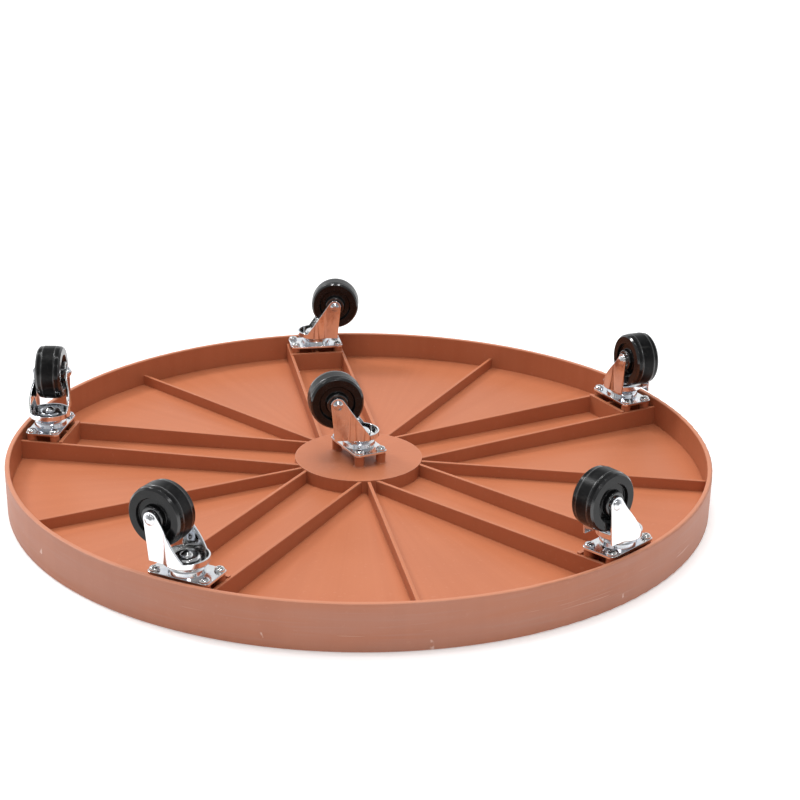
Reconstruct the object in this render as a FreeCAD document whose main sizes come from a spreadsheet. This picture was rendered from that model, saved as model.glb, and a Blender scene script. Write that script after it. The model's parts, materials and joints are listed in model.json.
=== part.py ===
import FreeCAD, Part
import Sketcher
import math
import os
from types import SimpleNamespace

# Plant pot caddy: a round moulded tray that carries a heavy pot on six swivel casters, one under
# the middle and five under the rim. It is modelled lying on its pot side, wheels up: Z = 0 is the
# plane of the rim's pot-side edge and +Z points from the pot side towards the wheels.
# All lengths are in millimetres and all angles in degrees.

TRAY_SIZES = [
    ("tray_radius", 304.8),
    ("rim_height", 39.4),
    ("rim_thickness", 4.3),
    ("rim_edge_round", 1.3),
    ("floor_level", 14.6),
    ("floor_thickness", 3.5),
    ("hub_radius", 55.8),
    ("hub_level", 26.4),
    ("rib_thickness", 3.0),
    ("rib_edge_round", 0.7),
    ("rib_hub_level", 25.7),
    ("rib_hub_overlap", 10.0),
    ("rib_pair_offset", 26.15),
    ("rib_pair_rim_level", 31.7),
    ("single_rib_rim_level", 24.3),
    ("cross_rib_radius", 263.5),
    ("cross_rib_level", 32.1),
    ("seat_level", 36.7),
    ("boss_radius", 4.2),
    ("boss_foot_round", 1.6),
    ("pilot_hole_radius", 1.85),
    ("pilot_hole_room", 1.0),
    ("caster_count", 5),
    ("caster_ring_radius", 280.5),
    ("first_caster_angle", 27.3),
]

CASTER_SIZES = [
    ("plate_long", 53.0),
    ("plate_short", 30.5),
    ("plate_thickness", 1.9),
    ("plate_corner_radius", 4.0),
    ("plate_edge_round", 0.45),
    ("screw_spacing_long", 43.4),
    ("screw_spacing_short", 20.9),
    ("screw_hole_radius", 2.1),
    ("screw_head_radius", 4.2),
    ("screw_head_thickness", 2.8),
    ("screw_head_round", 2.2),
    ("screw_shank_radius", 1.8),
    ("screw_length", 15.0),
    ("screw_point", 1.2),
    ("screw_slot_width", 0.9),
    ("screw_slot_length", 3.8),
    ("screw_slot_depth", 1.1),
    ("cup_base_radius", 14.7),
    ("cup_shoulder_radius", 13.9),
    ("cup_top_radius", 12.4),
    ("cup_shoulder_height", 5.2),
    ("cup_height", 7.5),
    ("cup_top_thickness", 1.9),
    ("cup_bore_radius", 12.0),
    ("cup_flange", 1.0),
    ("race_gap", 0.05),
    ("main_ball_radius", 1.8),
    ("main_ball_count", 14),
    ("main_race_radius", 10.0),
    ("main_ball_height", 8.4),
    ("upper_ball_radius", 1.5),
    ("upper_ball_count", 12),
    ("upper_race_radius", 7.3),
    ("upper_ball_height", 12.0),
    ("kingpin_radius", 3.0),
    ("kingpin_hole_radius", 3.05),
    ("kingpin_head_radius", 4.8),
    ("kingpin_foot_height", 3.9),
    ("kingpin_head_height", 2.7),
    ("kingpin_brim_height", 0.95),
    ("kingpin_crest_radius", 2.2),
    ("kingpin_dome_round", 0.8),
    ("cap_bottom", 11.6),
    ("cap_under", 13.05),
    ("cap_top", 14.5),
    ("cap_inner_radius", 9.2),
    ("cap_outer_radius", 10.6),
    ("cap_crown_radius", 9.2),
    ("cap_brow_round", 0.9),
    ("crown_base", 9.5),
    ("crown_radius", 18.0),
    ("crown_hole_radius", 4.7),
    ("crown_wall_height", 5.2),
    ("crown_edge_round", 1.1),
    ("sheet_thickness", 1.6),
    ("sheet_edge_round", 0.4),
    ("blank_margin", 3.0),
    ("leg_offset", 15.0),
    ("leg_bend_radius", 8.0),
    ("leg_back", 23.2),
    ("leg_front", 7.4),
    ("leg_front_base", 9.0),
    ("leg_front_reach", 13.0),
    ("leg_end_radius", 6.2),
    ("trail", 20.5),
    ("axle_height", 34.1),
    ("axle_radius", 3.0),
    ("axle_hole_radius", 3.04),
    ("axle_head_radius", 4.4),
    ("axle_head_height", 2.6),
    ("axle_brim_height", 0.9),
    ("axle_crest_radius", 1.8),
    ("axle_dome_round", 0.8),
    ("wheel_bore_radius", 3.06),
    ("wheel_radius", 23.8),
    ("tread_half_width", 5.2),
    ("shoulder_radius", 23.2),
    ("shoulder_half_width", 9.4),
    ("face_radius", 21.7),
    ("face_half_width", 11.1),
    ("wheel_corner_round", 0.8),
    ("web_outer_radius", 15.6),
    ("web_inner_radius", 10.2),
    ("web_half_width", 8.6),
    ("web_step", 1.0),
    ("hub_boss_radius", 9.2),
    ("hub_half_length", 12.9),
]

# Each caster's name, its place on the tray and the way its fork points at rest. A place of None is
# the middle of the hub; a number counts the rim casters anticlockwise from the first one.
CASTERS = [
    ("right", 0, 291.5),
    ("back", 1, 359.0),
    ("left", 2, 89.5),
    ("front_left", 3, 151.0),
    ("front_right", 4, 219.0),
    ("center", None, 189.5),
]


class Size:
    """A length or angle that remembers the spreadsheet expression it comes from."""

    def __init__(self, value, text):
        self.value = float(value)
        self.text = text

    def joined(self, sign, other, value):
        other_text = other.text if isinstance(other, Size) else repr(other)
        return Size(value, f"({self.text} {sign} {other_text})")

    def __add__(self, other):
        return self.joined("+", other, self.value + number(other))

    def __sub__(self, other):
        return self.joined("-", other, self.value - number(other))

    def __mul__(self, other):
        return self.joined("*", other, self.value * number(other))

    def __truediv__(self, other):
        return self.joined("/", other, self.value / number(other))

    def __neg__(self):
        return Size(-self.value, f"(-{self.text})")


def number(size):
    return size.value if isinstance(size, Size) else float(size)


def leg_of(hypotenuse, side):
    """The other short side of a right-angled triangle."""
    value = math.sqrt(hypotenuse.value ** 2 - side.value ** 2)
    return Size(value, f"sqrt({hypotenuse.text} ^ 2 - {side.text} ^ 2)")


ZERO = Size(0, "0")

doc = FreeCAD.newDocument("PlantPotCaddy")
sheet = doc.addObject("Spreadsheet::Sheet", "Sizes")
dim = SimpleNamespace()
for row, (alias, value) in enumerate(TRAY_SIZES + CASTER_SIZES, start=1):
    sheet.set(f"A{row}", alias)
    sheet.set(f"B{row}", str(value))
    sheet.setAlias(f"B{row}", alias)
    setattr(dim, alias, Size(value, f"Sizes.{alias}"))
doc.recompute()


# ---------------------------------------------------------------- modelling helpers

def new_body(name):
    body = doc.addObject("PartDesign::Body", name)
    body.Label = name
    return body


def origin_feature(body, role):
    return next(item for item in body.Origin.OriginFeatures if item.Role == role)


def new_sketch(body, name, plane, offset=None):
    """A sketch on one of the body's own origin planes, moved along its normal."""
    sketch = body.newObject("Sketcher::SketchObject", name)
    sketch.AttachmentSupport = (origin_feature(body, plane), [""])
    sketch.MapMode = "FlatFace"
    if offset is not None:
        sketch.setExpression("AttachmentOffset.Base.z", offset.text)
    return sketch


def hold(sketch, kind, geometry, point, size):
    """Fix one coordinate of a point of the sketch to a size."""
    index = sketch.addConstraint(Sketcher.Constraint(kind, geometry, point, size.value))
    sketch.setExpression(f"Constraints[{index}]", size.text)


def add_circle(sketch, x, y, radius):
    centre = FreeCAD.Vector(x.value, y.value, 0)
    circle = sketch.addGeometry(Part.Circle(centre, FreeCAD.Vector(0, 0, 1), radius.value), False)
    hold(sketch, "DistanceX", circle, 3, x)
    hold(sketch, "DistanceY", circle, 3, y)
    index = sketch.addConstraint(Sketcher.Constraint("Radius", circle, radius.value))
    sketch.setExpression(f"Constraints[{index}]", radius.text)


def arc_between(start, end, centre, turns_left):
    """An arc from start to end about centre, as the sketcher stores it: always anticlockwise."""
    radius = (start - centre).Length
    first = math.atan2(start.y - centre.y, start.x - centre.x)
    last = math.atan2(end.y - centre.y, end.x - centre.x)
    if not turns_left:
        first, last = last, first
    circle = Part.Circle(centre, FreeCAD.Vector(0, 0, 1), radius)
    return Part.ArcOfCircle(circle, first, last if last > first else last + 2 * math.pi)


def add_outline(sketch, corners, arcs=None):
    """A closed outline. corners are (x, y) sizes. arcs maps the number of the corner that an arc
    starts at to its centre, the way it turns and the one coordinate, x or y, that is held at the
    corner where it ends, because the circle settles the other."""
    arcs = arcs or {}
    points = [FreeCAD.Vector(x.value, y.value, 0) for x, y in corners]
    count = len(points)
    ends = []
    for index, point in enumerate(points):
        following = points[(index + 1) % count]
        if index in arcs:
            centre_x, centre_y, turns_left, _ = arcs[index]
            centre = FreeCAD.Vector(centre_x.value, centre_y.value, 0)
            edge = sketch.addGeometry(arc_between(point, following, centre, turns_left), False)
            hold(sketch, "DistanceX", edge, 3, centre_x)
            hold(sketch, "DistanceY", edge, 3, centre_y)
            ends.append((edge, 1, 2) if turns_left else (edge, 2, 1))
        else:
            edge = sketch.addGeometry(Part.LineSegment(point, following), False)
            ends.append((edge, 1, 2))
    for index, (x, y) in enumerate(corners):
        edge, start, _ = ends[index]
        before, _, finish = ends[index - 1]
        sketch.addConstraint(Sketcher.Constraint("Coincident", before, finish, edge, start))
        held = arcs[(index - 1) % count][3] if (index - 1) % count in arcs else "xy"
        if "x" in held:
            hold(sketch, "DistanceX", edge, start, x)
        if "y" in held:
            hold(sketch, "DistanceY", edge, start, y)


def add_rectangle(sketch, left, bottom, right, top):
    add_outline(sketch, [(left, bottom), (right, bottom), (right, top), (left, top)])


def pad(body, sketch, name, length, symmetric=False, downwards=False):
    feature = body.newObject("PartDesign::Pad", name)
    feature.Profile = sketch
    feature.SideType = "Symmetric" if symmetric else "One side"
    feature.Reversed = downwards
    feature.setExpression("Length", length.text)
    return feature


def pocket_both_ways(body, sketch, name):
    feature = body.newObject("PartDesign::Pocket", name)
    feature.Profile = sketch
    feature.Type = "ThroughAll"
    feature.SideType = "Symmetric"
    return feature


def pocket_down(body, sketch, name, depth):
    feature = body.newObject("PartDesign::Pocket", name)
    feature.Profile = sketch
    feature.setExpression("Length", depth.text)
    return feature


def revolve(body, sketch, name, axis="V_Axis"):
    feature = body.newObject("PartDesign::Revolution", name)
    feature.Profile = sketch
    feature.ReferenceAxis = (sketch, [axis])
    feature.Angle = 360
    return feature


def polar_pattern(body, features, name, count):
    feature = body.newObject("PartDesign::PolarPattern", name)
    feature.Originals = features
    feature.Axis = (origin_feature(body, "Z_Axis"), [""])
    feature.Angle = 360
    feature.setExpression("Occurrences", count.text)
    body.Tip = feature
    return feature


def edges_where(shape, test):
    return [f"Edge{index}" for index, edge in enumerate(shape.Edges, start=1) if test(edge)]


def round_edges(body, base, name, radius, test):
    """A fillet along every edge of base that passes the test."""
    doc.recompute()
    names = edges_where(base.Shape, test)
    if not names:
        raise RuntimeError(f"{body.Label} {name}: no edge to round")
    feature = body.newObject("PartDesign::Fillet", name)
    feature.Base = (base, names)
    feature.setExpression("Radius", radius.text)
    body.Tip = feature
    return feature


def is_circle(edge, radius, level):
    curve = edge.Curve
    return (isinstance(curve, Part.Circle) and abs(curve.Radius - radius.value) < 1e-4
            and abs(curve.Center.z - level.value) < 1e-4)


# ---------------------------------------------------------------- the tray

def rib(body, name, offset, turn, rim_level):
    """An upright radial rib whose top edge slopes from the hub to the rim."""
    sketch = new_sketch(body, f"{name}_sketch", "XZ_Plane", offset=offset)
    inner = dim.hub_radius - dim.rib_hub_overlap
    outer = dim.tray_radius - dim.rim_thickness / 2
    bottom = dim.floor_level - dim.floor_thickness / 2
    corners = [
        (inner, bottom),
        (outer, bottom),
        (outer, rim_level),
        (inner, dim.rib_hub_level),
    ]
    add_outline(sketch, corners)
    if turn is not None:
        sketch.AttachmentOffset = turn
    return pad(body, sketch, name, dim.rib_thickness, symmetric=True)


def seat_points(centre_x):
    """Where the four screws of a caster plate go, for a plate centred at centre_x."""
    half_short = dim.screw_spacing_short / 2
    half_long = dim.screw_spacing_long / 2
    return [(centre_x + along, across)
            for along in (half_short, -half_short) for across in (half_long, -half_long)]


def seat_bosses(body, name, centre_x, foot):
    """Four round screw bosses that hold a caster plate clear of the ribs."""
    sketch = new_sketch(body, f"{name}_sketch", "XY_Plane", offset=foot)
    for x, y in seat_points(centre_x):
        add_circle(sketch, x, y, dim.boss_radius)
    return pad(body, sketch, name, dim.seat_level - foot)


def pilot_holes(body, name, centre_x):
    sketch = new_sketch(body, f"{name}_sketch", "XY_Plane", offset=dim.seat_level)
    for x, y in seat_points(centre_x):
        add_circle(sketch, x, y, dim.pilot_hole_radius)
    depth = dim.screw_length - dim.plate_thickness + dim.pilot_hole_room
    return pocket_down(body, sketch, name, depth)


def make_tray():
    body = new_body("tray")
    inside = dim.tray_radius - dim.rim_thickness
    under = dim.floor_level - dim.floor_thickness

    section = new_sketch(body, "tray_section", "XZ_Plane")
    corners = [
        (ZERO, under),
        (inside, under),
        (inside, ZERO),
        (dim.tray_radius, ZERO),
        (dim.tray_radius, dim.rim_height),
        (inside, dim.rim_height),
        (inside, dim.floor_level),
        (ZERO, dim.floor_level),
    ]
    add_outline(section, corners)
    revolve(body, section, "floor_and_rim")

    hub_sketch = new_sketch(body, "hub_sketch", "XY_Plane", offset=under)
    add_circle(hub_sketch, ZERO, ZERO, dim.hub_radius)
    pad(body, hub_sketch, "hub", dim.hub_level - under)

    half_step = FreeCAD.Rotation(FreeCAD.Vector(0, 1, 0), -180.0 / dim.caster_count.value)
    between = FreeCAD.Placement(FreeCAD.Vector(0, 0, 0), half_step)
    ribs = [
        rib(body, "rib_one_side", dim.rib_pair_offset, None, dim.rib_pair_rim_level),
        rib(body, "rib_other_side", -dim.rib_pair_offset, None, dim.rib_pair_rim_level),
        rib(body, "single_rib", None, between, dim.single_rib_rim_level),
    ]
    ribbed = polar_pattern(body, ribs, "ribs", dim.caster_count)

    def on_rib_top(edge):
        box = edge.BoundBox
        runs_out = edge.Length > dim.tray_radius.value / 2
        return runs_out and box.ZMin > dim.floor_level.value and box.ZLength > 0.1

    ribs_rounded = round_edges(body, ribbed, "rib_rounds", dim.rib_edge_round, on_rib_top)

    def on_rim_edge(edge):
        return any(is_circle(edge, radius, level) for radius in (dim.tray_radius, inside)
                   for level in (ZERO, dim.rim_height))

    round_edges(body, ribs_rounded, "rim_rounds", dim.rim_edge_round, on_rim_edge)

    half_thickness = dim.rib_thickness / 2
    rib_foot = dim.floor_level - dim.floor_thickness / 2
    cross_sketch = new_sketch(body, "cross_rib_sketch", "XY_Plane", offset=rib_foot)
    add_rectangle(cross_sketch, dim.cross_rib_radius - half_thickness, -dim.rib_pair_offset,
                  dim.cross_rib_radius + half_thickness, dim.rib_pair_offset)
    seat = [pad(body, cross_sketch, "cross_rib", dim.cross_rib_level - rib_foot)]

    web_sketch = new_sketch(body, "seat_web_sketch", "XY_Plane", offset=rib_foot)
    add_rectangle(web_sketch, dim.cross_rib_radius, -half_thickness,
                  inside + dim.rim_thickness / 2, half_thickness)
    seat.append(pad(body, web_sketch, "seat_web", dim.cross_rib_level - rib_foot))
    seat.append(seat_bosses(body, "rim_bosses", dim.caster_ring_radius, rib_foot))
    polar_pattern(body, seat, "rim_seats", dim.caster_count)

    hub_foot = dim.hub_level - dim.floor_thickness / 2
    hub_bosses = seat_bosses(body, "hub_bosses", ZERO, hub_foot)
    round_edges(body, hub_bosses, "hub_boss_feet", dim.boss_foot_round,
                lambda edge: is_circle(edge, dim.boss_radius, dim.hub_level))
    pilot_holes(body, "hub_pilot_holes", ZERO)
    rim_holes = pilot_holes(body, "rim_pilot_holes", dim.caster_ring_radius)
    polar_pattern(body, [rim_holes], "rim_seat_holes", dim.caster_count)
    body.Placement = turned_about_z(dim.first_caster_angle.value)
    return body


# ---------------------------------------------------------------- the caster's fixed pieces
# Heights in a caster are measured from the underside of its mounting plate.

def ball_groove(race_radius, ball_height, ball_radius, level):
    """The two corners where a ball groove meets a level, and the groove's centre."""
    groove_radius = ball_radius + dim.race_gap
    reach = leg_of(groove_radius, ball_height - level)
    return (race_radius - reach, level), (race_radius + reach, level), (race_radius, ball_height)


def make_mount_plate(name):
    """A pressed plate with a raised cup in the middle that carries the main ring of balls."""
    body = new_body(name)
    blank = new_sketch(body, f"{name}_blank", "XY_Plane")
    half_short = dim.plate_short / 2
    half_long = dim.plate_long / 2
    add_rectangle(blank, -half_short, -half_long, half_short, half_long)
    for x, y in seat_points(ZERO):
        add_circle(blank, x, y, dim.screw_hole_radius)
    add_circle(blank, ZERO, ZERO, dim.cup_bore_radius + dim.cup_flange)
    plate = pad(body, blank, f"{name}_pad", dim.plate_thickness)

    groove_in, groove_out, groove_centre = ball_groove(
        dim.main_race_radius, dim.main_ball_height, dim.main_ball_radius, dim.cup_height)
    roof = dim.cup_height - dim.cup_top_thickness
    cup = new_sketch(body, f"{name}_cup_section", "XZ_Plane")
    corners = [
        (dim.cup_bore_radius, ZERO),
        (dim.cup_base_radius, ZERO),
        (dim.cup_base_radius, dim.plate_thickness),
        (dim.cup_shoulder_radius, dim.cup_shoulder_height),
        (dim.cup_top_radius, dim.cup_height),
        groove_out,
        groove_in,
        (dim.kingpin_hole_radius, dim.cup_height),
        (dim.kingpin_hole_radius, roof),
        (dim.cup_bore_radius, roof),
    ]
    add_outline(cup, corners, arcs={5: (*groove_centre, False, "x")})
    cupped = revolve(body, cup, f"{name}_cup")

    def on_corner(edge):
        upright = edge.BoundBox.XLength < 1e-6 and edge.BoundBox.YLength < 1e-6
        return upright and abs(abs(edge.CenterOfMass.x) - half_short.value) < 1e-4

    cornered = round_edges(body, cupped, f"{name}_corners", dim.plate_corner_radius, on_corner)

    def on_upper_border(edge):
        centre = edge.CenterOfMass
        outside = (abs(centre.x) > half_short.value - dim.plate_corner_radius.value
                   or abs(centre.y) > half_long.value - dim.plate_corner_radius.value)
        flat = edge.BoundBox.ZLength < 1e-6
        screw_hole = isinstance(edge.Curve, Part.Circle) and edge.Curve.Radius < 3
        at_top = abs(centre.z - dim.plate_thickness.value) < 1e-4
        return outside and flat and at_top and not screw_hole

    round_edges(body, cornered, f"{name}_edges", dim.plate_edge_round, on_upper_border)
    return body


def make_screws(name):
    """Four cross-slotted pan-head screws."""
    body = new_body(name)
    shanks = new_sketch(body, f"{name}_shank_sketch", "XY_Plane", offset=dim.plate_thickness)
    heads = new_sketch(body, f"{name}_head_sketch", "XY_Plane", offset=dim.plate_thickness)
    for x, y in seat_points(ZERO):
        add_circle(shanks, x, y, dim.screw_shank_radius)
        add_circle(heads, x, y, dim.screw_head_radius)
    pad(body, shanks, f"{name}_shanks", dim.screw_length, downwards=True)
    headed = pad(body, heads, f"{name}_heads", dim.screw_head_thickness)
    top = dim.plate_thickness + dim.screw_head_thickness

    def on_head_top(edge):
        return is_circle(edge, dim.screw_head_radius, top)

    rounded = round_edges(body, headed, f"{name}_domes", dim.screw_head_round, on_head_top)

    tip = dim.plate_thickness - dim.screw_length
    doc.recompute()
    points = body.newObject("PartDesign::Chamfer", f"{name}_points")
    points.Base = (rounded, edges_where(
        rounded.Shape, lambda edge: is_circle(edge, dim.screw_shank_radius, tip)))
    points.setExpression("Size", dim.screw_point.text)
    body.Tip = points

    slots = new_sketch(body, f"{name}_slot_sketch", "XY_Plane", offset=top)
    near = dim.screw_slot_width / 2
    far = dim.screw_slot_length / 2
    cross = [(near, near), (near, far), (-near, far), (-near, near), (-far, near), (-far, -near),
             (-near, -near), (-near, -far), (near, -far), (near, -near), (far, -near), (far, near)]
    for x, y in seat_points(ZERO):
        add_outline(slots, [(x + across, y + along) for across, along in cross])
    pocket_down(body, slots, f"{name}_slots", dim.screw_slot_depth)
    return body


def make_balls(name, race_radius, ball_height, ball_radius, count):
    """A ring of loose bearing balls."""
    body = new_body(name)
    sketch = new_sketch(body, f"{name}_sketch", "XZ_Plane")
    top = (race_radius, ball_height + ball_radius)
    bottom = (race_radius, ball_height - ball_radius)
    centre = (race_radius, ball_height)
    points = [FreeCAD.Vector(x.value, y.value, 0) for x, y in (bottom, top, centre)]
    half = sketch.addGeometry(arc_between(points[0], points[1], points[2], True), False)
    line = sketch.addGeometry(Part.LineSegment(points[1], points[0]), False)
    sketch.addConstraint(Sketcher.Constraint("Coincident", half, 2, line, 1))
    sketch.addConstraint(Sketcher.Constraint("Coincident", half, 1, line, 2))
    hold(sketch, "DistanceX", half, 3, centre[0])
    hold(sketch, "DistanceY", half, 3, centre[1])
    hold(sketch, "DistanceX", half, 1, bottom[0])
    hold(sketch, "DistanceY", half, 1, bottom[1])
    sketch.addConstraint(Sketcher.Constraint("Vertical", line))
    ball = body.newObject("PartDesign::Revolution", f"{name}_one")
    ball.Profile = sketch
    ball.ReferenceAxis = (sketch, [f"Edge{line + 1}"])
    ball.Angle = 360
    polar_pattern(body, [ball], f"{name}_ring", count)
    return body


def make_kingpin(name):
    """The rivet that clamps plate, balls and race cap, and that the fork turns about."""
    body = new_body(name)
    roof = dim.cup_height - dim.cup_top_thickness
    foot = dim.kingpin_foot_height
    brim = dim.cap_top + dim.kingpin_brim_height
    top = dim.cap_top + dim.kingpin_head_height
    sketch = new_sketch(body, f"{name}_section", "XZ_Plane")
    corners = [
        (ZERO, foot),
        (dim.kingpin_head_radius, foot),
        (dim.kingpin_head_radius, roof),
        (dim.kingpin_radius, roof),
        (dim.kingpin_radius, dim.cap_top),
        (dim.kingpin_head_radius, dim.cap_top),
        (dim.kingpin_head_radius, brim),
        (dim.kingpin_crest_radius, top),
        (ZERO, top),
    ]
    add_outline(sketch, corners)
    turned = revolve(body, sketch, f"{name}_turned")

    def on_dome(edge):
        return (is_circle(edge, dim.kingpin_crest_radius, top)
                or is_circle(edge, dim.kingpin_head_radius, brim))

    round_edges(body, turned, f"{name}_dome", dim.kingpin_dome_round, on_dome)
    return body


def make_race_cap(name):
    """The pressed cap that holds the upper ring of balls down on the fork's crown."""
    body = new_body(name)
    groove_in, groove_out, groove_centre = ball_groove(
        dim.upper_race_radius, dim.upper_ball_height, dim.upper_ball_radius, dim.cap_under)
    sketch = new_sketch(body, f"{name}_section", "XZ_Plane")
    corners = [
        (dim.kingpin_hole_radius, dim.cap_under),
        groove_in,
        groove_out,
        (dim.cap_inner_radius, dim.cap_under),
        (dim.cap_inner_radius, dim.cap_bottom),
        (dim.cap_outer_radius, dim.cap_bottom),
        (dim.cap_outer_radius, dim.cap_under),
        (dim.cap_crown_radius, dim.cap_top),
        (dim.kingpin_hole_radius, dim.cap_top),
    ]
    add_outline(sketch, corners, arcs={1: (*groove_centre, False, "x")})
    turned = revolve(body, sketch, f"{name}_turned")

    def on_brow(edge):
        return (is_circle(edge, dim.cap_outer_radius, dim.cap_under)
                or is_circle(edge, dim.cap_crown_radius, dim.cap_top))

    round_edges(body, turned, f"{name}_brow", dim.cap_brow_round, on_brow)
    return body


# ---------------------------------------------------------------- the caster's swivelling pieces

def make_fork(name):
    """The pressed fork: a dished crown with a wall, and two legs that rise from the wall, lean
    back and hold the axle behind the kingpin. The front of each leg follows the round wall, and
    the back of it is flat."""
    body = new_body(name)
    base = dim.crown_base
    inner_wall = dim.crown_radius - dim.sheet_thickness

    lip = base + dim.crown_edge_round
    plan = new_sketch(body, f"{name}_plan", "XY_Plane", offset=lip)
    add_leg_plan(plan, inner_wall, 1)
    add_leg_plan(plan, inner_wall, -1)
    top = dim.axle_height + dim.leg_end_radius
    pad(body, plan, f"{name}_strips", top + dim.blank_margin)

    outline = new_sketch(body, f"{name}_leg_outline", "XZ_Plane")
    beyond = top + dim.blank_margin * 2
    add_rectangle(outline, -beyond, base - dim.blank_margin, beyond, base + beyond)
    add_leg_outline(outline, base)
    trimmed = pocket_both_ways(body, outline, f"{name}_trim")

    def on_leg_border(edge):
        box = edge.BoundBox
        upright = box.XLength < 1e-6 and box.YLength < 1e-6
        across = box.XLength < 1e-6 and box.ZLength < 1e-6
        at_foot = box.ZMax < lip.value + 1e-4
        return not (upright or across or at_foot)

    round_edges(body, trimmed, f"{name}_leg_rounds", dim.sheet_edge_round, on_leg_border)

    holes = new_sketch(body, f"{name}_axle_holes_sketch", "XZ_Plane")
    add_circle(holes, dim.trail, base + dim.axle_height, dim.axle_hole_radius)
    pocket_both_ways(body, holes, f"{name}_axle_holes")

    low_in, low_out, low_centre = ball_groove(
        dim.main_race_radius, dim.main_ball_height, dim.main_ball_radius, base)
    deck = base + dim.sheet_thickness
    high_in, high_out, high_centre = ball_groove(
        dim.upper_race_radius, dim.upper_ball_height, dim.upper_ball_radius, deck)
    wall_top = base + dim.crown_wall_height
    edge_round = dim.sheet_edge_round
    section = new_sketch(body, f"{name}_crown_section", "XZ_Plane")
    corners = [
        (dim.crown_hole_radius, base),
        low_in,
        low_out,
        (dim.crown_radius - dim.crown_edge_round, base),
        (dim.crown_radius, lip),
        (dim.crown_radius, wall_top - edge_round),
        (dim.crown_radius - edge_round, wall_top),
        (inner_wall + edge_round, wall_top),
        (inner_wall, wall_top - edge_round),
        (inner_wall, deck),
        high_out,
        high_in,
        (dim.crown_hole_radius, deck),
    ]
    arcs = {
        1: (*low_centre, False, "x"),
        3: (dim.crown_radius - dim.crown_edge_round, lip, True, "y"),
        5: (dim.crown_radius - edge_round, wall_top - edge_round, True, "x"),
        7: (inner_wall + edge_round, wall_top - edge_round, True, "y"),
        10: (*high_centre, False, "x"),
    }
    add_outline(section, corners, arcs=arcs)
    revolve(body, section, f"{name}_crown")
    return body


def add_leg_plan(sketch, inner_wall, side):
    """One leg seen from above: flat behind the kingpin, then bent out to follow the round wall.
    side is 1 for the leg on the +Y side and -1 for the other."""
    def on_side(y):
        return y if side > 0 else -y

    bend = dim.leg_bend_radius
    inner_leg = dim.leg_offset - dim.sheet_thickness
    rear = dim.trail + dim.leg_end_radius + dim.blank_margin
    bend_x = leg_of(dim.crown_radius + bend, dim.leg_offset + bend)
    bend_y = dim.leg_offset + bend
    to_outer = dim.crown_radius / (dim.crown_radius + bend)
    to_inner = inner_wall / (dim.crown_radius + bend)
    reach = dim.leg_front_reach
    inner_reach = reach * inner_wall / dim.crown_radius
    corners = [
        (rear, on_side(inner_leg)),
        (rear, on_side(dim.leg_offset)),
        (bend_x, on_side(dim.leg_offset)),
        (bend_x * to_outer, on_side(bend_y * to_outer)),
        (-reach, on_side(leg_of(dim.crown_radius, reach))),
        (-inner_reach, on_side(leg_of(inner_wall, inner_reach))),
        (bend_x * to_inner, on_side(bend_y * to_inner)),
        (bend_x, on_side(inner_leg)),
    ]
    bends = {
        2: (bend_x, on_side(bend_y), side < 0, "x"),
        3: (ZERO, ZERO, side > 0, "x"),
        5: (ZERO, ZERO, side < 0, "x"),
        6: (bend_x, on_side(bend_y), side > 0, "x"),
    }
    add_outline(sketch, corners, arcs=bends)


def add_leg_outline(sketch, base):
    """The side view of a leg: a slanting front, a steeper back and a round end at the axle."""
    centre_x = dim.trail
    centre_z = base + dim.axle_height
    wall_top = base + dim.crown_wall_height
    centre = FreeCAD.Vector(centre_x.value, centre_z.value, 0)
    radius = dim.leg_end_radius.value
    # First guesses only: the tangent constraints below move both to their places.
    back_top = centre + FreeCAD.Vector(radius, 0, 0)
    front_top = centre + FreeCAD.Vector(-0.8 * radius, 0.6 * radius, 0)
    corners = [
        (dim.leg_back, base),
        (-dim.leg_front_base, base),
        (-dim.leg_front, wall_top),
    ]
    back_foot, front_foot, front_knee = [FreeCAD.Vector(x.value, z.value, 0) for x, z in corners]
    end = sketch.addGeometry(arc_between(back_top, front_top, centre, True), False)
    front = sketch.addGeometry(Part.LineSegment(front_top, front_knee), False)
    knee = sketch.addGeometry(Part.LineSegment(front_knee, front_foot), False)
    foot = sketch.addGeometry(Part.LineSegment(front_foot, back_foot), False)
    back = sketch.addGeometry(Part.LineSegment(back_foot, back_top), False)
    sketch.addConstraint(Sketcher.Constraint("Tangent", end, 2, front, 1))
    sketch.addConstraint(Sketcher.Constraint("Coincident", front, 2, knee, 1))
    sketch.addConstraint(Sketcher.Constraint("Coincident", knee, 2, foot, 1))
    sketch.addConstraint(Sketcher.Constraint("Coincident", foot, 2, back, 1))
    sketch.addConstraint(Sketcher.Constraint("Tangent", back, 2, end, 1))
    hold(sketch, "DistanceX", end, 3, centre_x)
    hold(sketch, "DistanceY", end, 3, centre_z)
    index = sketch.addConstraint(Sketcher.Constraint("Radius", end, radius))
    sketch.setExpression(f"Constraints[{index}]", dim.leg_end_radius.text)
    for line, (x, z) in ((back, corners[0]), (foot, corners[1]), (knee, corners[2])):
        hold(sketch, "DistanceX", line, 1, x)
        hold(sketch, "DistanceY", line, 1, z)


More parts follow.
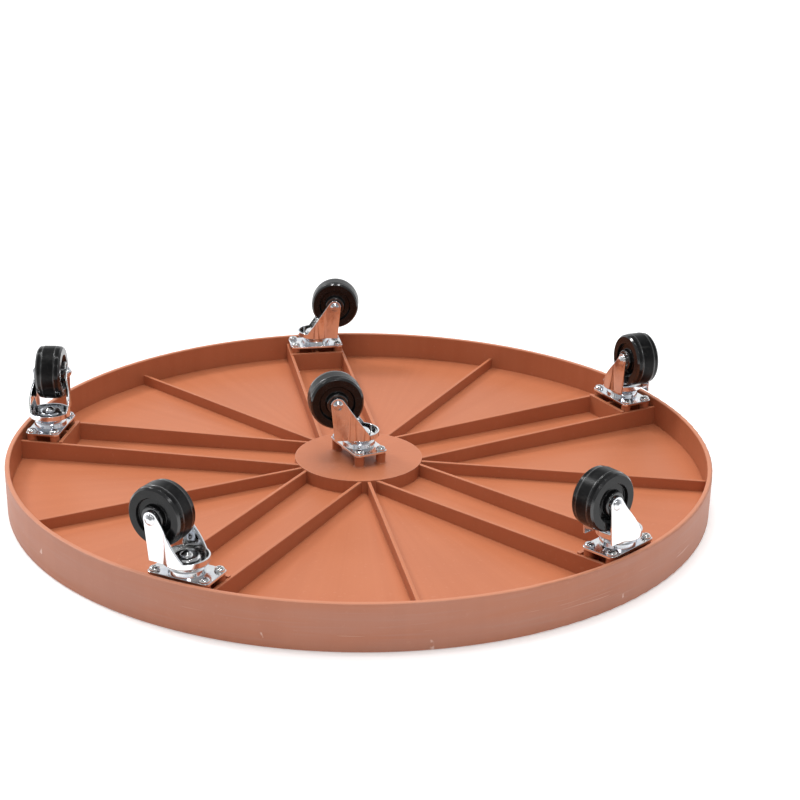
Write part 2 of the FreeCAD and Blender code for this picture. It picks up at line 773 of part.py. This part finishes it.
def make_axle(name):
    """The riveted axle, with a domed head outside each leg. Its own Y runs along it."""
    body = new_body(name)
    reach = dim.leg_offset
    end = reach + dim.axle_head_height
    brim = reach + dim.axle_brim_height
    crest = dim.axle_crest_radius
    sketch = new_sketch(body, f"{name}_section", "XY_Plane")
    corners = [
        (ZERO, -end),
        (crest, -end),
        (dim.axle_head_radius, -brim),
        (dim.axle_head_radius, -reach),
        (dim.axle_radius, -reach),
        (dim.axle_radius, reach),
        (dim.axle_head_radius, reach),
        (dim.axle_head_radius, brim),
        (crest, end),
        (ZERO, end),
    ]
    add_outline(sketch, corners)
    turned = revolve(body, sketch, f"{name}_turned")

    def on_dome(edge):
        curve = edge.Curve
        beyond = isinstance(curve, Part.Circle) and abs(curve.Center.y) > reach.value + 0.1
        return beyond and curve.Radius > crest.value - 0.1

    round_edges(body, turned, f"{name}_domes", dim.axle_dome_round, on_dome)
    return body


def make_wheel(name):
    """A hard rubber wheel: flat tread, sloping shoulders, dished faces and a long hub boss.
    Its own Y is the axle's line."""
    body = new_body(name)
    half = [
        (dim.wheel_bore_radius, dim.hub_half_length),
        (dim.hub_boss_radius, dim.hub_half_length),
        (dim.web_inner_radius, dim.web_half_width),
        (dim.web_outer_radius - dim.web_step, dim.web_half_width),
        (dim.web_outer_radius, dim.face_half_width),
        (dim.face_radius, dim.face_half_width),
        (dim.shoulder_radius, dim.shoulder_half_width),
        (dim.wheel_radius, dim.tread_half_width),
    ]
    sketch = new_sketch(body, f"{name}_section", "XY_Plane")
    mirrored = [(radius, -width) for radius, width in reversed(half)]
    add_outline(sketch, half + mirrored)
    turned = revolve(body, sketch, f"{name}_turned")

    def at_corner(edge, corners):
        curve = edge.Curve
        return isinstance(curve, Part.Circle) and any(
            abs(curve.Radius - radius.value) < 1e-4
            and abs(abs(curve.Center.y) - width.value) < 1e-4 for radius, width in corners)

    soft_corners = [half[1], *half[5:8]]
    round_edges(body, turned, f"{name}_shoulders", dim.wheel_corner_round,
                lambda edge: at_corner(edge, soft_corners))
    return body


# ---------------------------------------------------------------- putting it together

def turned_about_z(angle):
    rotation = FreeCAD.Rotation(FreeCAD.Vector(0, 0, 1), angle)
    return FreeCAD.Placement(FreeCAD.Vector(0, 0, 0), rotation)


def raised(x, z):
    return FreeCAD.Placement(FreeCAD.Vector(x, 0, z), FreeCAD.Rotation())


def place_caster(name, place, fork_angle):
    """Six fixed pieces on the tray, two that swivel and the wheel."""
    step = 360.0 / dim.caster_count.value
    plate_angle = dim.first_caster_angle.value + step * (place or 0)
    ring = 0.0 if place is None else dim.caster_ring_radius.value
    kingpin_line = turned_about_z(plate_angle).multiply(raised(ring, dim.seat_level.value))

    fixed = [
        make_mount_plate(f"{name}_mount_plate"),
        make_screws(f"{name}_plate_screws"),
        make_kingpin(f"{name}_kingpin"),
        make_race_cap(f"{name}_race_cap"),
        make_balls(f"{name}_main_balls", dim.main_race_radius, dim.main_ball_height,
                   dim.main_ball_radius, dim.main_ball_count),
        make_balls(f"{name}_upper_balls", dim.upper_race_radius, dim.upper_ball_height,
                   dim.upper_ball_radius, dim.upper_ball_count),
    ]
    for body in fixed:
        body.Placement = kingpin_line

    swivel = kingpin_line.multiply(turned_about_z(fork_angle - plate_angle))
    fork = make_fork(f"{name}_fork")
    fork.Placement = swivel
    axle_line = swivel.multiply(raised(dim.trail.value, (dim.crown_base + dim.axle_height).value))
    axle = make_axle(f"{name}_axle")
    axle.Placement = axle_line
    wheel = make_wheel(f"{name}_wheel")
    wheel.Placement = axle_line
    return fixed + [fork, axle, wheel]


def check(sub_parts):
    """Stop if any object failed to build or any sub-part has no sound solid."""
    failed = [item.Label for item in doc.Objects
              if any(word in item.State for word in ("Invalid", "Error"))]
    for sub_part in sub_parts:
        shape = sub_part.Shape
        if shape.isNull() or not shape.isValid() or not shape.Solids:
            failed.append(sub_part.Label)
    if failed:
        raise RuntimeError("failed to build: " + ", ".join(failed))


def main():
    sub_parts = [make_tray()]
    for caster in CASTERS:
        sub_parts += place_caster(*caster)
    doc.recompute()
    check(sub_parts)
    os.makedirs("parts", exist_ok=True)
    for sub_part in sub_parts:
        sub_part.Shape.exportStep(os.path.join("parts", f"{sub_part.Label}.step"))


main()
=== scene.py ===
import bmesh
import bpy
import json
import math
from mathutils import Matrix, Vector


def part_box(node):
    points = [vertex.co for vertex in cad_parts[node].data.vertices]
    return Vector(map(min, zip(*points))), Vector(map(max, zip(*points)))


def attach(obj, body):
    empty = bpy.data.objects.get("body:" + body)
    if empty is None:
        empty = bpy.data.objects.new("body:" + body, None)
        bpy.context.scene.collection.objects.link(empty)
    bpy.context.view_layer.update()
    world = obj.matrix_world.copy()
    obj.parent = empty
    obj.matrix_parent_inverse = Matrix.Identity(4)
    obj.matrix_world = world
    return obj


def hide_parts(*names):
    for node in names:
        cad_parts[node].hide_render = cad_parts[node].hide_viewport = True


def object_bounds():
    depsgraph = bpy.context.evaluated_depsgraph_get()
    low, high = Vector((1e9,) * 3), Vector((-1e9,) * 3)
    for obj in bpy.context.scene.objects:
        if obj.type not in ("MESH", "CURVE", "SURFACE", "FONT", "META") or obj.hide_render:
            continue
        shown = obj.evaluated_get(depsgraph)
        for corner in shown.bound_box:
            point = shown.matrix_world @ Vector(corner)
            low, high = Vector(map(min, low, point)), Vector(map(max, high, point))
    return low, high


# Plant pot caddy: a terracotta plastic tray lying on its pot side, with six zinc and rubber
# swivel casters standing up from it. Metres throughout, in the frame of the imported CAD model:
# +Z points from the pot side towards the wheels, and the camera stands on the -Y side.

IMAGE_SIDE = 800                    # pixels, for turning the figures below into a camera
FOCAL_LENGTH = 1650.4               # pixels
PRINCIPAL_POINT = (358.4, 483.3)    # pixels, from the top left of the image
CAMERA_DISTANCE = 1.463
CAMERA_ELEVATION = math.radians(23.53)
CAMERA_ROLL = math.radians(0.36)
SENSOR_WIDTH = 36.0                 # millimetres

LIGHT_TARGET = (0, 0, 0.03)
FLOOR_RADIUS = 30.0
FLOOR_SEGMENTS = 96
FLOOR_GAP = 0.0002                  # the studio floor lies this far below the tray
FLOOR_GLOW = 0.25
SUN = {"elevation": 66.0, "azimuth": 0.0, "spread": 50.0, "power": 1.88}
SOFTBOXES = [
    {"name": "softbox_left", "place": (-1.5, 0.9, 2.0), "size": 0.5, "power": 22.0},
    {"name": "softbox_front", "place": (0.3, -1.7, 1.9), "size": 0.5, "power": 6.3},
    {"name": "softbox_top", "place": (0.0, -0.4, 1.7), "size": 0.9, "power": 7.0,
     "seen_in_gloss": False},
    {"name": "lamp_left", "place": (-0.35, -0.1, 1.8), "size": 0.13, "power": 2.6},
    {"name": "lamp_right", "place": (0.30, -0.1, 1.8), "size": 0.13, "power": 2.0},
]

CASTERS = ("center", "left", "front_left", "front_right", "right", "back")

# The wheel's section, from the bore out to the middle of the tread: radius, half width and the
# round of each corner, in millimetres.
WHEEL_SECTION = [
    (3.06, 12.9, 0.0),
    (9.2, 12.9, 1.1),
    (10.1, 8.7, 0.8),
    (14.6, 8.5, 0.7),
    (15.6, 11.1, 0.5),
    (21.7, 11.1, 0.7),
    (23.2, 9.4, 0.5),
    (23.62, 6.0, 0.3),
    (23.86, 5.5, 0.12),
    (23.78, 4.9, 0.3),
]
WHEEL_SEGMENTS = 160
CORNER_STEPS = 4
MILLIMETRE = 0.001

# Linear colours: red, green, blue and opacity.
TERRACOTTA_DEEP = (0.430, 0.138, 0.062, 1)
TERRACOTTA_PALE = (0.465, 0.155, 0.072, 1)
TERRACOTTA_SPECKLE = (0.52, 0.22, 0.13, 1)
# Paler edges of the tray: a painted highlight along the edges, with some wear.
TERRACOTTA_EDGE_WEAR_AND_HIGHLIGHT = (0.62, 0.31, 0.21, 1)
# A painted highlight for the top of the rim, which faces the light.
PAINTED_RIM_HIGHLIGHT = (0.60, 0.30, 0.20, 1)
# The outer wall's haze: handling marks and a painted reflection of the white floor.
HAZE_AND_PAINTED_REFLECTION = (0.420, 0.268, 0.230, 1)
FRESH_NICK = (0.72, 0.50, 0.42, 1)
# Painted shade for the inner corners of the tray.
PAINTED_CORNER_SHADE = (0.20, 0.075, 0.04, 1)
# Paler metal edges: burnish and a painted highlight along the edges.
METAL_EDGE_BURNISH_AND_HIGHLIGHT = (0.93, 0.93, 0.93, 1)
# Painted shade for the inner corners of metal parts.
PAINTED_METAL_CORNER_SHADE = (0.20, 0.19, 0.18, 1)
RUBBER_DEEP = (0.0035, 0.0035, 0.0038, 1)
RUBBER_PALE = (0.0075, 0.0075, 0.0078, 1)
RUBBER_DUST = (0.09, 0.087, 0.083, 1)
STUDIO_DEEP = (0.83, 0.83, 0.83, 1)
STUDIO_PALE = (0.87, 0.87, 0.87, 1)

# The metal finishes: two tints that drift into each other, and the least and greatest roughness.
METAL_FINISHES = {
    "zinc_plate": ((0.74, 0.77, 0.83, 1), (0.86, 0.86, 0.86, 1), 0.09, 0.18),
    "zinc_screw": ((0.76, 0.78, 0.82, 1), (0.88, 0.87, 0.85, 1), 0.08, 0.16),
    "zinc_cap": ((0.72, 0.75, 0.80, 1), (0.86, 0.86, 0.87, 1), 0.08, 0.16),
    "zinc_fork": ((0.77, 0.79, 0.83, 1), (0.88, 0.88, 0.87, 1), 0.08, 0.17),
    "kingpin_steel": ((0.70, 0.71, 0.74, 1), (0.82, 0.82, 0.82, 1), 0.12, 0.22),
    "axle_steel": ((0.66, 0.67, 0.70, 1), (0.80, 0.80, 0.80, 1), 0.14, 0.26),
    "ball_steel": ((0.74, 0.75, 0.77, 1), (0.82, 0.82, 0.83, 1), 0.05, 0.10),
}

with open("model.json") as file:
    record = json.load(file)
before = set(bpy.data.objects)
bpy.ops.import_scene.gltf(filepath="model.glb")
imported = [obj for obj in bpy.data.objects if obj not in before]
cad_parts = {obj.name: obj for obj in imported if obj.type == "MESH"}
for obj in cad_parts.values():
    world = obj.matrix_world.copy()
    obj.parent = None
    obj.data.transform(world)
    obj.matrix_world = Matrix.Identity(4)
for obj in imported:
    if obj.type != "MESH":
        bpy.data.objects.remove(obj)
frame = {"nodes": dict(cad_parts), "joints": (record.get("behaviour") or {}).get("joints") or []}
cad_low, cad_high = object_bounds()
rim_radius = cad_high.x
rim_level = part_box("tray")[1].z


# ------------------------------------------------------------------ node trees

OPENNESS_SAMPLES = 6


class Nodes:
    """The node tree of one material or of the world, built by short calls."""

    def __init__(self, owner):
        owner.use_nodes = True
        self.tree = owner.node_tree

    def add(self, kind, inputs=None, output=0, **settings):
        """A node with its settings and inputs; an input may be a value or another node's
        socket. Gives back the output socket asked for."""
        node = self.tree.nodes.new("ShaderNode" + kind)
        for key, value in settings.items():
            setattr(node, key, value)
        for key, value in (inputs or {}).items():
            self.plug(node.inputs[key], value)
        return node.outputs[output]

    def plug(self, socket, value):
        if isinstance(value, bpy.types.NodeSocket):
            self.tree.links.new(value, socket)
        else:
            socket.default_value = value

    def math(self, operation, first, second):
        return self.add("Math", {0: first, 1: second}, operation=operation)

    def both(self, first, second):
        """Where two 0 to 1 masks overlap, or a mask made weaker by a number."""
        return self.math("MULTIPLY", first, second)

    def either(self, first, second):
        return self.math("MAXIMUM", first, second)

    def axis(self, vector, letter):
        return self.add("SeparateXYZ", {0: vector}, output=letter)

    def band(self, value, low, high):
        """0 below low, 1 above high and smooth between; the other way round if low is higher."""
        inputs = {"Value": value, "From Min": low, "From Max": high}
        return self.add("MapRange", inputs, interpolation_type="SMOOTHSTEP")

    def scaled(self, value, low, high):
        """A 0 to 1 value spread between low and high."""
        return self.add("MapRange", {"Value": value, "To Min": low, "To Max": high})

    def noise(self, vector, scale, detail=3.0, roughness=0.5):
        inputs = {"Vector": vector, "Scale": scale, "Detail": detail, "Roughness": roughness}
        return self.add("TexNoise", inputs)

    def stretched(self, vector, factors):
        return self.add("VectorMath", {0: vector, 1: factors}, operation="MULTIPLY")

    def blend(self, factor, first, second):
        node = self.tree.nodes.new("ShaderNodeMix")
        node.data_type = "RGBA"
        colours = [socket for socket in node.inputs if socket.type == "RGBA"]
        self.plug(node.inputs[0], factor)
        self.plug(colours[0], first)
        self.plug(colours[1], second)
        return next(socket for socket in node.outputs if socket.type == "RGBA")

    def openness(self, distance, inside):
        """How open a point is to its own piece, from 0 to 1, looking out or in under the skin."""
        return self.add("AmbientOcclusion", {"Distance": distance}, output="AO",
                        samples=OPENNESS_SAMPLES, inside=inside, only_local=True)

    def edges(self, distance):
        """1 along the outer edges of a piece and 0 on its faces."""
        return self.band(self.openness(distance, inside=True), 0.92, 0.55)

    def corners(self, distance):
        """1 deep in the inner corners of a piece and 0 on its open faces."""
        return self.band(self.openness(distance, inside=False), 0.6, 0.1)

    def bump(self, height, distance, strength=1.0, normal=None):
        inputs = {"Height": height, "Distance": distance, "Strength": strength}
        if normal is not None:
            inputs["Normal"] = normal
        return self.add("Bump", inputs)


def new_material(name):
    """A new material, its node tree and the inputs of its surface shader."""
    material = bpy.data.materials.new(name)
    nodes = Nodes(material)
    return material, nodes, nodes.tree.nodes["Principled BSDF"].inputs


# ------------------------------------------------------------------ camera, floor and light

def aim(thing, target):
    """Turn a light or camera so that it looks at a point."""
    direction = Vector(target) - thing.location
    thing.rotation_mode = "QUATERNION"
    thing.rotation_quaternion = direction.to_track_quat("-Z", "Y")


def link(thing):
    bpy.context.scene.collection.objects.link(thing)
    return thing


def make_camera():
    data = bpy.data.cameras.new("camera")
    data.sensor_width = SENSOR_WIDTH
    data.lens = SENSOR_WIDTH * FOCAL_LENGTH / IMAGE_SIDE
    data.shift_x = 0.5 - PRINCIPAL_POINT[0] / IMAGE_SIDE
    data.shift_y = PRINCIPAL_POINT[1] / IMAGE_SIDE - 0.5
    camera = link(bpy.data.objects.new("camera", data))
    camera.location = (0, -CAMERA_DISTANCE * math.cos(CAMERA_ELEVATION),
                       CAMERA_DISTANCE * math.sin(CAMERA_ELEVATION))
    aim(camera, (0, 0, 0))
    roll = Matrix.Rotation(CAMERA_ROLL, 3, (0, 0, 1)).to_quaternion()
    camera.rotation_quaternion = camera.rotation_quaternion @ roll
    bpy.context.scene.camera = camera


def make_softbox(name, place, size, power, seen_in_gloss=True):
    data = bpy.data.lights.new(name, "AREA")
    data.shape = "SQUARE"
    data.size = size
    data.energy = power
    light = link(bpy.data.objects.new(name, data))
    light.location = place
    light.visible_glossy = seen_in_gloss
    aim(light, LIGHT_TARGET)


def make_sun(elevation, azimuth, spread, power):
    """Even light from high behind the object: an angle of 0 is straight behind, in degrees."""
    data = bpy.data.lights.new("sky_panel", "SUN")
    data.energy = power
    data.angle = math.radians(spread)
    light = link(bpy.data.objects.new("sky_panel", data))
    up, round_z = math.radians(elevation), math.radians(azimuth)
    light.location = (math.sin(round_z) * math.cos(up), math.cos(round_z) * math.cos(up),
                      math.sin(up))
    light.visible_glossy = False
    aim(light, (0, 0, 0))


def make_world():
    """A grey studio with a white backdrop behind the object and a pale line all round."""
    world = bpy.data.worlds.new("studio")
    bpy.context.scene.world = world
    nodes = Nodes(world)
    direction = nodes.add("TexCoord", output="Generated")
    height = nodes.axis(direction, "Z")
    behind = nodes.band(nodes.axis(direction, "Y"), -0.6, 0.6)
    horizon = nodes.band(height, 0.14, 0.0)
    backdrop = nodes.both(behind, nodes.band(height, 0.60, 0.42))
    sky = nodes.scaled(behind, 0.32, 0.30)
    lit = nodes.add("Mix", {0: nodes.either(horizon, backdrop), 2: sky, 3: 0.95})
    background = nodes.tree.nodes["Background"]
    background.inputs["Color"].default_value = (0.97, 0.985, 1.0, 1.0)
    nodes.plug(background.inputs["Strength"], lit)


def make_floor():
    mesh = bpy.data.meshes.new("floor")
    shape = bmesh.new()
    bmesh.ops.create_circle(shape, cap_ends=True, radius=FLOOR_RADIUS,
                              segments=FLOOR_SEGMENTS)
    shape.to_mesh(mesh)
    shape.free()
    floor = link(bpy.data.objects.new("floor", mesh))
    floor.location.z = cad_low.z - FLOOR_GAP
    material, nodes, surface = new_material("studio_floor")
    tone = nodes.noise(nodes.add("TexCoord", output="Object"), 1.5)
    nodes.plug(surface["Base Color"], nodes.blend(tone, STUDIO_DEEP, STUDIO_PALE))
    surface["Roughness"].default_value = 0.65
    surface["Specular IOR Level"].default_value = 0.25
    surface["Emission Color"].default_value = (1, 1, 1, 1)
    surface["Emission Strength"].default_value = FLOOR_GLOW
    mesh.materials.append(material)


# ------------------------------------------------------------------ materials

def tray_plastic():
    """Satin terracotta moulding: faint flow marks out from the hub, a fine grain, and an outer
    wall with a pale haze, partly handling marks and partly a painted reflection of the white
    floor, long level scratches and a few nicks."""
    material, nodes, surface = new_material("terracotta_plastic")
    place = nodes.add("TexCoord", output="Object")
    level = nodes.axis(place, "Z")
    flat = nodes.stretched(place, (1, 1, 0))
    radius = nodes.add("VectorMath", {0: flat}, output="Value", operation="LENGTH")
    outward = nodes.add("VectorMath", {0: flat}, operation="NORMALIZE")

    cloud = nodes.noise(place, 9.0, 4.0)
    flow = nodes.noise(nodes.stretched(outward, (26, 26, 0)), 1.0, 3.0)
    grain = nodes.noise(place, 1500.0, 2.0)
    speckle = nodes.noise(place, 260.0, 3.0)

    tone = nodes.math("ADD", nodes.both(cloud, 0.6), nodes.both(flow, 0.4))
    plastic = nodes.blend(nodes.band(tone, 0.35, 0.65), TERRACOTTA_DEEP, TERRACOTTA_PALE)
    plastic = nodes.blend(nodes.both(nodes.band(speckle, 0.6, 0.75), 0.25), plastic,
                          TERRACOTTA_SPECKLE)

    # The haze of the outer wall, partly a painted reflection of the white floor, and its rubbed
    # streaks.
    outer_wall = nodes.band(radius, rim_radius - 0.0012, rim_radius - 0.0006)
    haze = nodes.noise(nodes.stretched(place, (7, 7, 60)), 1.0, 4.0)
    rubbed = nodes.noise(nodes.stretched(place, (16, 16, 420)), 1.0, 4.0)
    haze_and_reflection = nodes.math("ADD", nodes.scaled(nodes.band(haze, 0.3, 0.7), 0.16, 0.34),
                         nodes.both(nodes.band(rubbed, 0.52, 0.72), 0.10))
    plastic = nodes.blend(nodes.both(haze_and_reflection, outer_wall), plastic, HAZE_AND_PAINTED_REFLECTION)

    # Its long scratches, which keep to the middle of its height, and its crooked nicks.
    patches = nodes.noise(place, 11.0, 2.0)
    scratch_lines = nodes.noise(nodes.stretched(place, (22, 22, 800)), 1.0, 1.0)
    scratches = nodes.both(nodes.band(scratch_lines, 0.70, 0.74), nodes.band(patches, 0.45, 0.6))
    middle = nodes.both(nodes.band(level, 0.008, 0.014), nodes.band(level, 0.026, 0.020))
    scratches = nodes.both(nodes.both(scratches, middle), outer_wall)
    wobble = nodes.add("TexNoise", {"Vector": place, "Scale": 140.0}, output="Color")
    crooked = nodes.add("VectorMath", {0: nodes.stretched(wobble, (0.012, 0.012, 0.012)),
                                       1: nodes.stretched(place, (1, 1, 0.7))}, operation="ADD")
    cells = nodes.add("TexVoronoi", {"Vector": crooked, "Scale": 24.0}, output="Distance")
    nicks = nodes.both(nodes.band(cells, 0.075, 0.045), outer_wall)
    marks = nodes.either(nodes.both(scratches, 0.55), nicks)
    plastic = nodes.blend(nodes.both(marks, 0.75), plastic, FRESH_NICK)

    # Paler edges, a painted highlight broken up by wear; painted shade in the inner corners; and
    # a painted highlight on the top of the rim.
    # Painted highlight along the tray's edges, broken up as wear would be.
    edge_breakup = nodes.scaled(nodes.band(speckle, 0.35, 0.6), 0.25, 0.5)
    plastic = nodes.blend(nodes.both(nodes.edges(0.0011), edge_breakup), plastic, TERRACOTTA_EDGE_WEAR_AND_HIGHLIGHT)
    # Painted shade: darker in the tray's inner corners.
    corner_shade = nodes.both(nodes.corners(0.006), nodes.scaled(cloud, 0.1, 0.35))
    plastic = nodes.blend(corner_shade, plastic, PAINTED_CORNER_SHADE)
    # Painted highlight on the top of the rim.
    rim_top = nodes.both(nodes.band(level, rim_level - 0.0010, rim_level - 0.00023),
                         nodes.band(radius, rim_radius - 0.006, rim_radius - 0.004))
    plastic = nodes.blend(nodes.both(rim_top, 0.3), plastic, PAINTED_RIM_HIGHLIGHT)
    nodes.plug(surface["Base Color"], plastic)

    smooth = nodes.scaled(cloud, 0.36, 0.50)
    nodes.plug(surface["Roughness"], nodes.add("Mix", {0: outer_wall, 2: smooth, 3: 0.56}))
    surface["Specular IOR Level"].default_value = 0.35

    fine = nodes.bump(grain, 0.00004, 0.5)
    wavy = nodes.bump(cloud, 0.0012, 0.25, fine)
    nodes.plug(surface["Normal"],
               nodes.bump(nodes.math("SUBTRACT", 1.0, marks), 0.0002, 0.6, wavy))
    return material


def bright_metal(name, dark, light, smooth, rough):
    """Bright plating: cloudy tint, uneven gloss, faint press marks, paler edges with a painted
    highlight and painted shade in the corners.
    """
    material, nodes, surface = new_material(name)
    place = nodes.add("TexCoord", output="Object")
    cloud = nodes.noise(place, 55.0, 3.0)
    patch = nodes.noise(place, 160.0, 4.0)
    press = nodes.noise(nodes.stretched(place, (1, 1, 7)), 700.0, 2.0)
    scuff = nodes.noise(nodes.stretched(place, (3, 3, 0.4)), 900.0, 2.0)
    colour = nodes.blend(nodes.band(cloud, 0.38, 0.62), dark, light)
    # Paler edges, partly burnish and partly a painted highlight.
    colour = nodes.blend(nodes.both(nodes.edges(0.0006), 0.6), colour, METAL_EDGE_BURNISH_AND_HIGHLIGHT)
    # Painted shade: darker in the inner corners.
    colour = nodes.blend(nodes.both(nodes.corners(0.0025), 0.5), colour, PAINTED_METAL_CORNER_SHADE)
    nodes.plug(surface["Base Color"], colour)
    surface["Metallic"].default_value = 1.0
    gloss = nodes.scaled(nodes.band(patch, 0.3, 0.7), smooth, rough)
    scuffed = nodes.both(nodes.band(scuff, 0.62, 0.75), 0.12)
    nodes.plug(surface["Roughness"], nodes.math("ADD", gloss, scuffed))
    fine = nodes.bump(press, 0.00002, 0.30)
    nodes.plug(surface["Normal"], nodes.bump(patch, 0.00030, 0.28, fine))
    return material


def wheel_rubber():
    """Hard black rubber: a dull, faintly dusty tread and glossier faces. The wheel's own Y is
    its axle."""
    material, nodes, surface = new_material("black_rubber")
    place = nodes.add("TexCoord", output="Object")
    across = nodes.stretched(place, (0, 1, 0))
    width = nodes.add("VectorMath", {0: across}, output="Value", operation="LENGTH")
    radius = nodes.add("VectorMath", {0: nodes.stretched(place, (1, 0, 1))}, output="Value",
                       operation="LENGTH")
    cloud = nodes.noise(place, 90.0, 4.0)
    dust = nodes.noise(place, 420.0, 4.0, 0.65)
    round_and_round = nodes.add("CombineXYZ", {"X": radius, "Y": width})
    turned = nodes.noise(round_and_round, 700.0, 2.0)
    grain = nodes.noise(place, 2600.0, 2.0)
    scuffs = nodes.noise(nodes.stretched(place, (1, 0.15, 1)), 330.0, 3.0)

    # Where the wheel is what: radius and distance from its middle plane in metres.
    tread = nodes.both(nodes.band(radius, 0.0229, 0.0234), nodes.band(width, 0.0075, 0.0050))
    bead = nodes.both(nodes.band(radius, 0.02350, 0.02362), nodes.band(width, 0.0047, 0.0050))
    lip = nodes.both(nodes.band(radius, 0.0215, 0.0218), nodes.band(width, 0.0091, 0.0094))
    boss = nodes.both(nodes.band(radius, 0.0095, 0.0093), nodes.band(width, 0.0114, 0.0117))
    polished = nodes.either(nodes.either(bead, lip), boss)

    dusty = nodes.both(nodes.band(dust, 0.5, 0.75), nodes.scaled(tread, 0.06, 0.14))
    rubbed = nodes.both(nodes.band(scuffs, 0.60, 0.72), nodes.scaled(tread, 0.05, 0.18))
    worn = nodes.both(nodes.edges(0.0005), 0.18)
    pale = nodes.either(nodes.either(dusty, rubbed), worn)
    colour = nodes.blend(nodes.band(cloud, 0.35, 0.65), RUBBER_DEEP, RUBBER_PALE)
    nodes.plug(surface["Base Color"], nodes.blend(pale, colour, RUBBER_DUST))

    rough = nodes.add("Mix", {0: tread, 2: nodes.scaled(cloud, 0.12, 0.22), 3: 0.30})
    nodes.plug(surface["Roughness"], nodes.math("ADD", rough, nodes.both(pale, 0.4)))
    plain = nodes.scaled(tread, 0.28, 0.15)
    nodes.plug(surface["Specular IOR Level"], nodes.add("Mix", {0: polished, 2: plain, 3: 0.9}))
    rings = nodes.bump(turned, 0.00006, 0.30)
    nodes.plug(surface["Normal"], nodes.bump(grain, 0.00002, 0.3, rings))
    return material


# ------------------------------------------------------------------ meshes

def rounded_corner(before, corner, after, radius):
    """Points of an arc that rounds a corner of a flat section."""
    into = (corner - before).normalized()
    out = (after - corner).normalized()
    turn = into.angle(out)
    cut = radius * math.tan(turn / 2)
    start = corner - into * cut
    side = (out - into).normalized()
    centre = corner + side * (radius / math.cos(turn / 2))
    first = start - centre
    sign = 1 if into.cross(out) > 0 else -1
    points = []
    for step in range(CORNER_STEPS + 1):
        angle = sign * turn * step / CORNER_STEPS
        cosine, sine = math.cos(angle), math.sin(angle)
        points.append(centre + Vector((first.x * cosine - first.y * sine,
                                       first.x * sine + first.y * cosine)))
    return points


def wheel_profile():
    """The whole section, from one end of the bore over the tread to the other end."""
    half = [(Vector((radius, width)), corner_round)
            for radius, width, corner_round in WHEEL_SECTION]
    other = [(Vector((point.x, -point.y)), corner_round) for point, corner_round in half[::-1]]
    corners = half + other
    points = []
    for index, (corner, corner_round) in enumerate(corners):
        if corner_round == 0:
            points.append(corner)
        else:
            points += rounded_corner(corners[index - 1][0], corner, corners[index + 1][0],
                                     corner_round)
    return [point * MILLIMETRE for point in points]


def lathe(name, profile, segments):
    """A closed solid of revolution about its own Y, from a closed section of (radius, y)."""
    shape = bmesh.new()
    rings = []
    for step in range(segments):
        angle = 2 * math.pi * step / segments
        rings.append([shape.verts.new((point.x * math.cos(angle), point.y,
                                       point.x * math.sin(angle))) for point in profile])
    count = len(profile)
    for ring, following in zip(rings, rings[1:] + rings[:1]):
        for index in range(count):
            after = (index + 1) % count
            shape.faces.new((ring[index], ring[after], following[after], following[index]))
    bmesh.ops.recalc_face_normals(shape, faces=shape.faces)
    for face in shape.faces:
        face.smooth = True
    mesh = bpy.data.meshes.new(name)
    shape.to_mesh(mesh)
    shape.free()
    return mesh


def joint_named(name):
    return next(joint for joint in frame["joints"] if joint["name"] == name)


def keep_flats_flat(piece):
    modifier = piece.modifiers.new("flat_faces", "WEIGHTED_NORMAL")
    modifier.keep_sharp = True


def make_wheels(material):
    mesh = lathe("wheel", wheel_profile(), WHEEL_SEGMENTS)
    mesh.materials.append(material)
    # Each wheel is turned a quarter more than the one before, so their wear doesn't match.
    for order, caster in enumerate(CASTERS):
        spin = joint_named(f"{caster}_wheel_spin")
        wheel = link(bpy.data.objects.new(f"{caster}_rubber_wheel", mesh.copy()))
        along = Vector(spin["axis"])
        turned = Matrix.Rotation(math.radians(90 * order), 4, "Y")
        wheel.matrix_world = (Matrix.Translation(Vector(spin["pos_m"]))
                              @ along.to_track_quat("Y", "Z").to_matrix().to_4x4() @ turned)
        keep_flats_flat(wheel)
        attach(wheel, f"{caster}_roller")
        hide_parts(f"{caster}_wheel")


make_camera()
make_floor()
make_world()
make_sun(**SUN)
for softbox in SOFTBOXES:
    make_softbox(**softbox)
bpy.context.scene.view_settings.view_transform = "Standard"

rubber = wheel_rubber()
make_wheels(rubber)

finishes = {name: bright_metal(name, *look) for name, look in METAL_FINISHES.items()}
finishes["tray_plastic"] = tray_plastic()
finishes["wheel_rubber"] = rubber

for node in frame["nodes"].values():
    for slot in node.material_slots:
        slot.material = finishes[slot.material.name]
